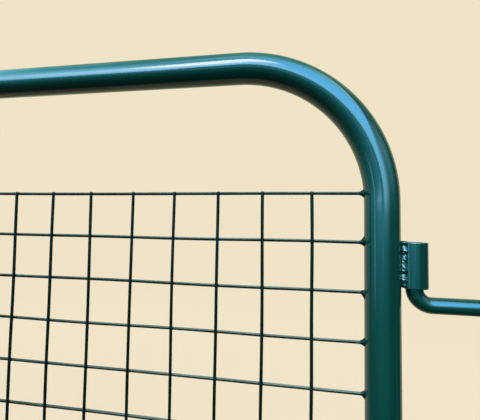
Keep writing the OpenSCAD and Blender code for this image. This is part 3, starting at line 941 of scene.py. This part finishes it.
# The enclosure is two matching hoops of the leaf's tube, standing in a V. Each has a straight
# lower rail coped and welded between its legs, a mesh sheet with the upright wires outside,
# and a drilled foot plate under each leg.
hoop_cells = 22
foot_spacing, foot_hole = 0.070, 0.0055
cope_fillet, foot_fillet = 0.0026, 0.0036
upright_error, level_error = 0.0007, 0.0004


def leg_place(side, leg):
    """Point at ground level under a hoop's leg."""
    low, high = corners(f"{side}_{leg}_foot")
    return (low + high) / 2 * [1, 1, 0]


for number, side in enumerate(("back", "front")):
    clap, apex = leg_place(side, "clapping"), leg_place(side, "apex")
    hoop_half = np.linalg.norm(clap - apex) / 2
    along = (clap - apex) / (2 * hoop_half)
    out = np.cross(UP, along)
    out *= np.sign(out[1]) * np.sign(clap[1])
    middle = (clap + apex) / 2
    plate_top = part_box(f"{side}_apex_foot")[1][2]

    flat, heading = bent_path(hoop_half, rail_above, plate_top)
    mount_piece(f"{side}_hoop_tube", "fixed_frame", "coated_tube", tube_coat,
                tube_shell(stand(flat, middle, along), stand(heading, 0, along), out,
                           tube_radius, tube_wall),
                stands_for=[f"{side}_hoop"])

    across, beside = circle(1.0, 64)
    walls = []
    for radius in (tube_radius, tube_radius - tube_wall):
        cope = hoop_half - np.sqrt(tube_radius ** 2 - (radius * across) ** 2)
        ends = np.array([-1.0, -0.5, 0.5, 1.0])[:, None] * cope
        second = np.cross(along, out)
        walls.append(middle + rail_below * UP + ends[..., None] * along
                     + radius * (across[:, None] * out + beside[:, None] * second))
    mount_piece(f"{side}_rail_tube", "fixed_frame", "coated_tube", tube_coat,
                ("ring", np.concatenate([walls[0], walls[1][::-1]])),
                stands_for=[f"{side}_hoop_bottom_rail"])

    welds = []
    for end, leg in ((1, clap), (-1, apex)):
        seam = saddle_path(leg + rail_below * UP, -end * along, tube_radius * 0.992, tube_radius)
        welds.append(bead(*seam, cope_fillet, cope_fillet, seed=60 + number + end, rough=0.08, columns=12))
        seam = ring_path(leg + (plate_top + 0.0005) * UP, tube_radius + 0.0006, LEVEL, OUT, 110)
        welds.append(bead(*seam, foot_fillet, foot_fillet, seed=64 + number + end, rough=0.08, columns=12))
    mount_piece(f"{side}_hoop_welds", "fixed_frame", "coated_fittings", fitting_coat, *welds)

    draw = np.random.default_rng(80 + number)
    uprights = (np.arange(hoop_cells + 1) - hoop_cells / 2) * mesh_pitch
    uprights = uprights + draw.uniform(-upright_error, upright_error, hoop_cells + 1)
    levels = mesh_top - mesh_pitch * np.arange(rows + 1)
    levels = levels + draw.uniform(-level_error, level_error, rows + 1)
    reach = np.full(rows + 1, hoop_half - tube_radius + seat)
    drift = wire_sheet(f"{side}_wire_sheet", "fixed_frame", f"{side}_hoop_mesh", middle, along, out,
                       uprights, levels, reach, seed=17 + number)
    wire_tacks(f"{side}_wire_tacks", "fixed_frame", middle, along, out, levels, reach, drift,
               seed=23 + number, droop=draw.uniform(-0.0006, 0.0014, rows + 1))
    for leg in ("clapping", "apex"):
        drilled_plate(f"{side}_{leg}_plate", f"{side}_{leg}_foot", foot_spacing, foot_hole)
        anchors(f"{side}_{leg}_anchors", f"{side}_{leg}_foot", foot_spacing, stud=0.005, pitch=0.0015,
                flats=0.017, washer_radius=0.010, seed=100 + number + 10 * (leg == "apex"))


# Rubber sleeves on the clapping legs take the leaf's knock. Each is moulded with rounded lips
# and a slit, sprung over the leg with the slit over the ends of the wires.
sleeve_wall = 0.006
slit = 0.010
rubber = satin_finish("black_buffer_rubber", grain=(700.0, 4.0, 0.00012), patches=(60.0, 5.0),
                      stops=[(0.35, 0.010, 0.010, 0.010), (0.8, 0.035, 0.034, 0.032)],
                      rough=(0.62, 0.80), mirror=0.12)

for side in ("back", "front"):
    leg = leg_place(side, "clapping")
    facing = math.atan2(*(leg_place(side, "apex") - leg)[[1, 0]])
    half_slit = math.asin(slit / 2 / (tube_radius + sleeve_wall))
    angle = facing + np.linspace(half_slit, 2 * np.pi - half_slit, 80)
    radial = turned(1, angle, 0)
    round_way = np.stack([-radial[:, 1], radial[:, 0], radial[:, 2]], -1)
    for which in ("upper", "lower"):
        low, high = corners(f"{side}_{which}_buffer")
        half = (high[2] - low[2]) / 2
        lip = np.radians(np.linspace(0, 90, 7))
        corner = 0.5 * sleeve_wall * np.stack([np.sin(lip), -np.cos(lip)], -1)
        top = np.array([sleeve_wall / 2, half - sleeve_wall / 2])
        outer_low = np.concatenate([corner + top * [1, -1], [[sleeve_wall, 0.001 - top[1]]]])
        section = np.concatenate([outer_low, outer_low[::-1] * [1, -1], [
            [0.0006, half], [0, half - 0.0006], [0, 0.0006 - half], [0.0006, -half]]])
        centre = leg + (low[2] + high[2]) / 2 * UP
        mount_piece(f"{side}_{which}_sleeve", "fixed_frame", "buffer_rubber", rubber,
                    sweep(centre, round_way, radial, tube_radius + section[:, 0], section[:, 1]),
                    stands_for=[f"{side}_{which}_buffer"])


# Two clamps tie the apex legs together. Each is a pair of flat bars pressed round both legs
# and drawn up by one bolt through the middle, with a washer under its head and its nut.
bar_thick = 0.005
bar_corner = 0.0009
clamp_gap = 0.004
bend_softness = 13
bolt_radius, bolt_pitch = 0.004, 0.00125
bolt_flats, head_height, nut_height = 0.013, 0.0053, 0.0068
washer_outer, washer_inner, washer_thick = 0.008, 0.0042, 0.0016
turn_x = np.array([[0, 0, 1.0], [1.0, 0, 0], [0, 1.0, 0]])
turn_back = turn_x * [-1, 1, -1]


def rounded_bar(width, height, corner):
    """Rectangle with rounded corners, anticlockwise, as across and along coordinates."""
    turn = np.linspace(0, np.pi / 2, 4)
    hold = 0.6 * corner
    bend = np.concatenate([[[corner, -hold]], corner * np.stack([np.cos(turn), np.sin(turn)], -1),
                           [[-hold, corner]]])
    quarters = []
    for quarter, sx, sy in four_corners:
        swung = bend @ np.array([[math.cos(quarter), math.sin(quarter)],
                                 [-math.sin(quarter), math.cos(quarter)]])
        quarters.append(swung + [sx * (width / 2 - corner), sy * (height / 2 - corner)])
    return np.concatenate(quarters).T


def clamp_line(half_length):
    """Middle line of a pressed bar, as distances (off the legs' plane, sideways). Off the
    plane it lies sqrt(wrap^2 - distance from a leg^2), but never nearer than the flat part,
    and the bends are softened by a running mean."""
    wrap = tube_radius + bar_thick / 2
    flat = clamp_gap / 2 + bar_thick / 2
    sideways = np.linspace(-half_length, half_length, 900)
    from_leg = np.abs(np.abs(sideways) - apex_y)
    bulge = np.sqrt(np.maximum(wrap ** 2 - from_leg ** 2, 0))
    line = np.stack([np.maximum(bulge, flat), sideways], -1)
    gone = np.concatenate([[0], np.cumsum(np.linalg.norm(np.diff(line, axis=0), axis=1))])
    even = np.linspace(0, gone[-1], 320)
    line = np.stack([np.interp(even, gone, line[:, k]) for k in (0, 1)], -1)
    reach = bend_softness // 2
    soft = np.pad(line, ((reach, reach), (0, 0)), "edge")
    mean = np.full(bend_softness, 1 / bend_softness)
    softened = np.stack([np.convolve(soft[:, k], mean, "valid") for k in (0, 1)], -1)
    line[reach + 1:-reach - 1] = softened[reach + 1:-reach - 1]
    return line[::2]


def laid(grid, axes, centre):
    """A grid made about the upright axis, laid on a level bolt's axis."""
    if isinstance(grid, tuple):
        return ("ring", laid(grid[1], axes, centre))
    return grid @ axes.T + centre


apex_x, apex_y, _ = leg_place("back", "apex")
for which in ("upper", "lower"):
    for half, way in (("inner", 1), ("outer", -1)):
        low, high = corners(f"{which}_clamp_{half}")
        bolt_z = (low[2] + high[2]) / 2
        line = clamp_line(high[1])
        path = np.stack([apex_x + way * line[:, 0], line[:, 1], np.full(len(line), bolt_z)], -1)
        tangent = np.gradient(path, axis=0)
        tangent /= np.linalg.norm(tangent, axis=1, keepdims=True)
        strap = sweep(path, tangent, UP, *rounded_bar(high[2] - low[2], bar_thick, bar_corner))
        mount_piece(f"{which}_{half}_strap", "fixed_frame", "coated_fittings", fitting_coat, strap,
                    stands_for=[f"{which}_clamp_{half}"])
    face_x = clamp_gap / 2 + bar_thick
    seat_x = face_x + washer_thick
    flat_ring = washer(washer_outer, washer_inner, washer_thick, face_x)
    bolt = ((flat_ring, turn_x), (hexagon(bolt_flats, head_height, seat_x, turn=0.3), turn_x),
            (flat_ring, turn_back), (hexagon(bolt_flats, nut_height, seat_x, turn=0.8), turn_back),
            (thread(bolt_radius, bolt_pitch, -face_x, seat_x + nut_height + 0.005), turn_back))
    mount_piece(f"{which}_clamp_bolt", "fixed_frame", "zinc_bolts", zinc,
                *(laid(grid, axes, [apex_x, 0, bolt_z]) for grid, axes in bolt))
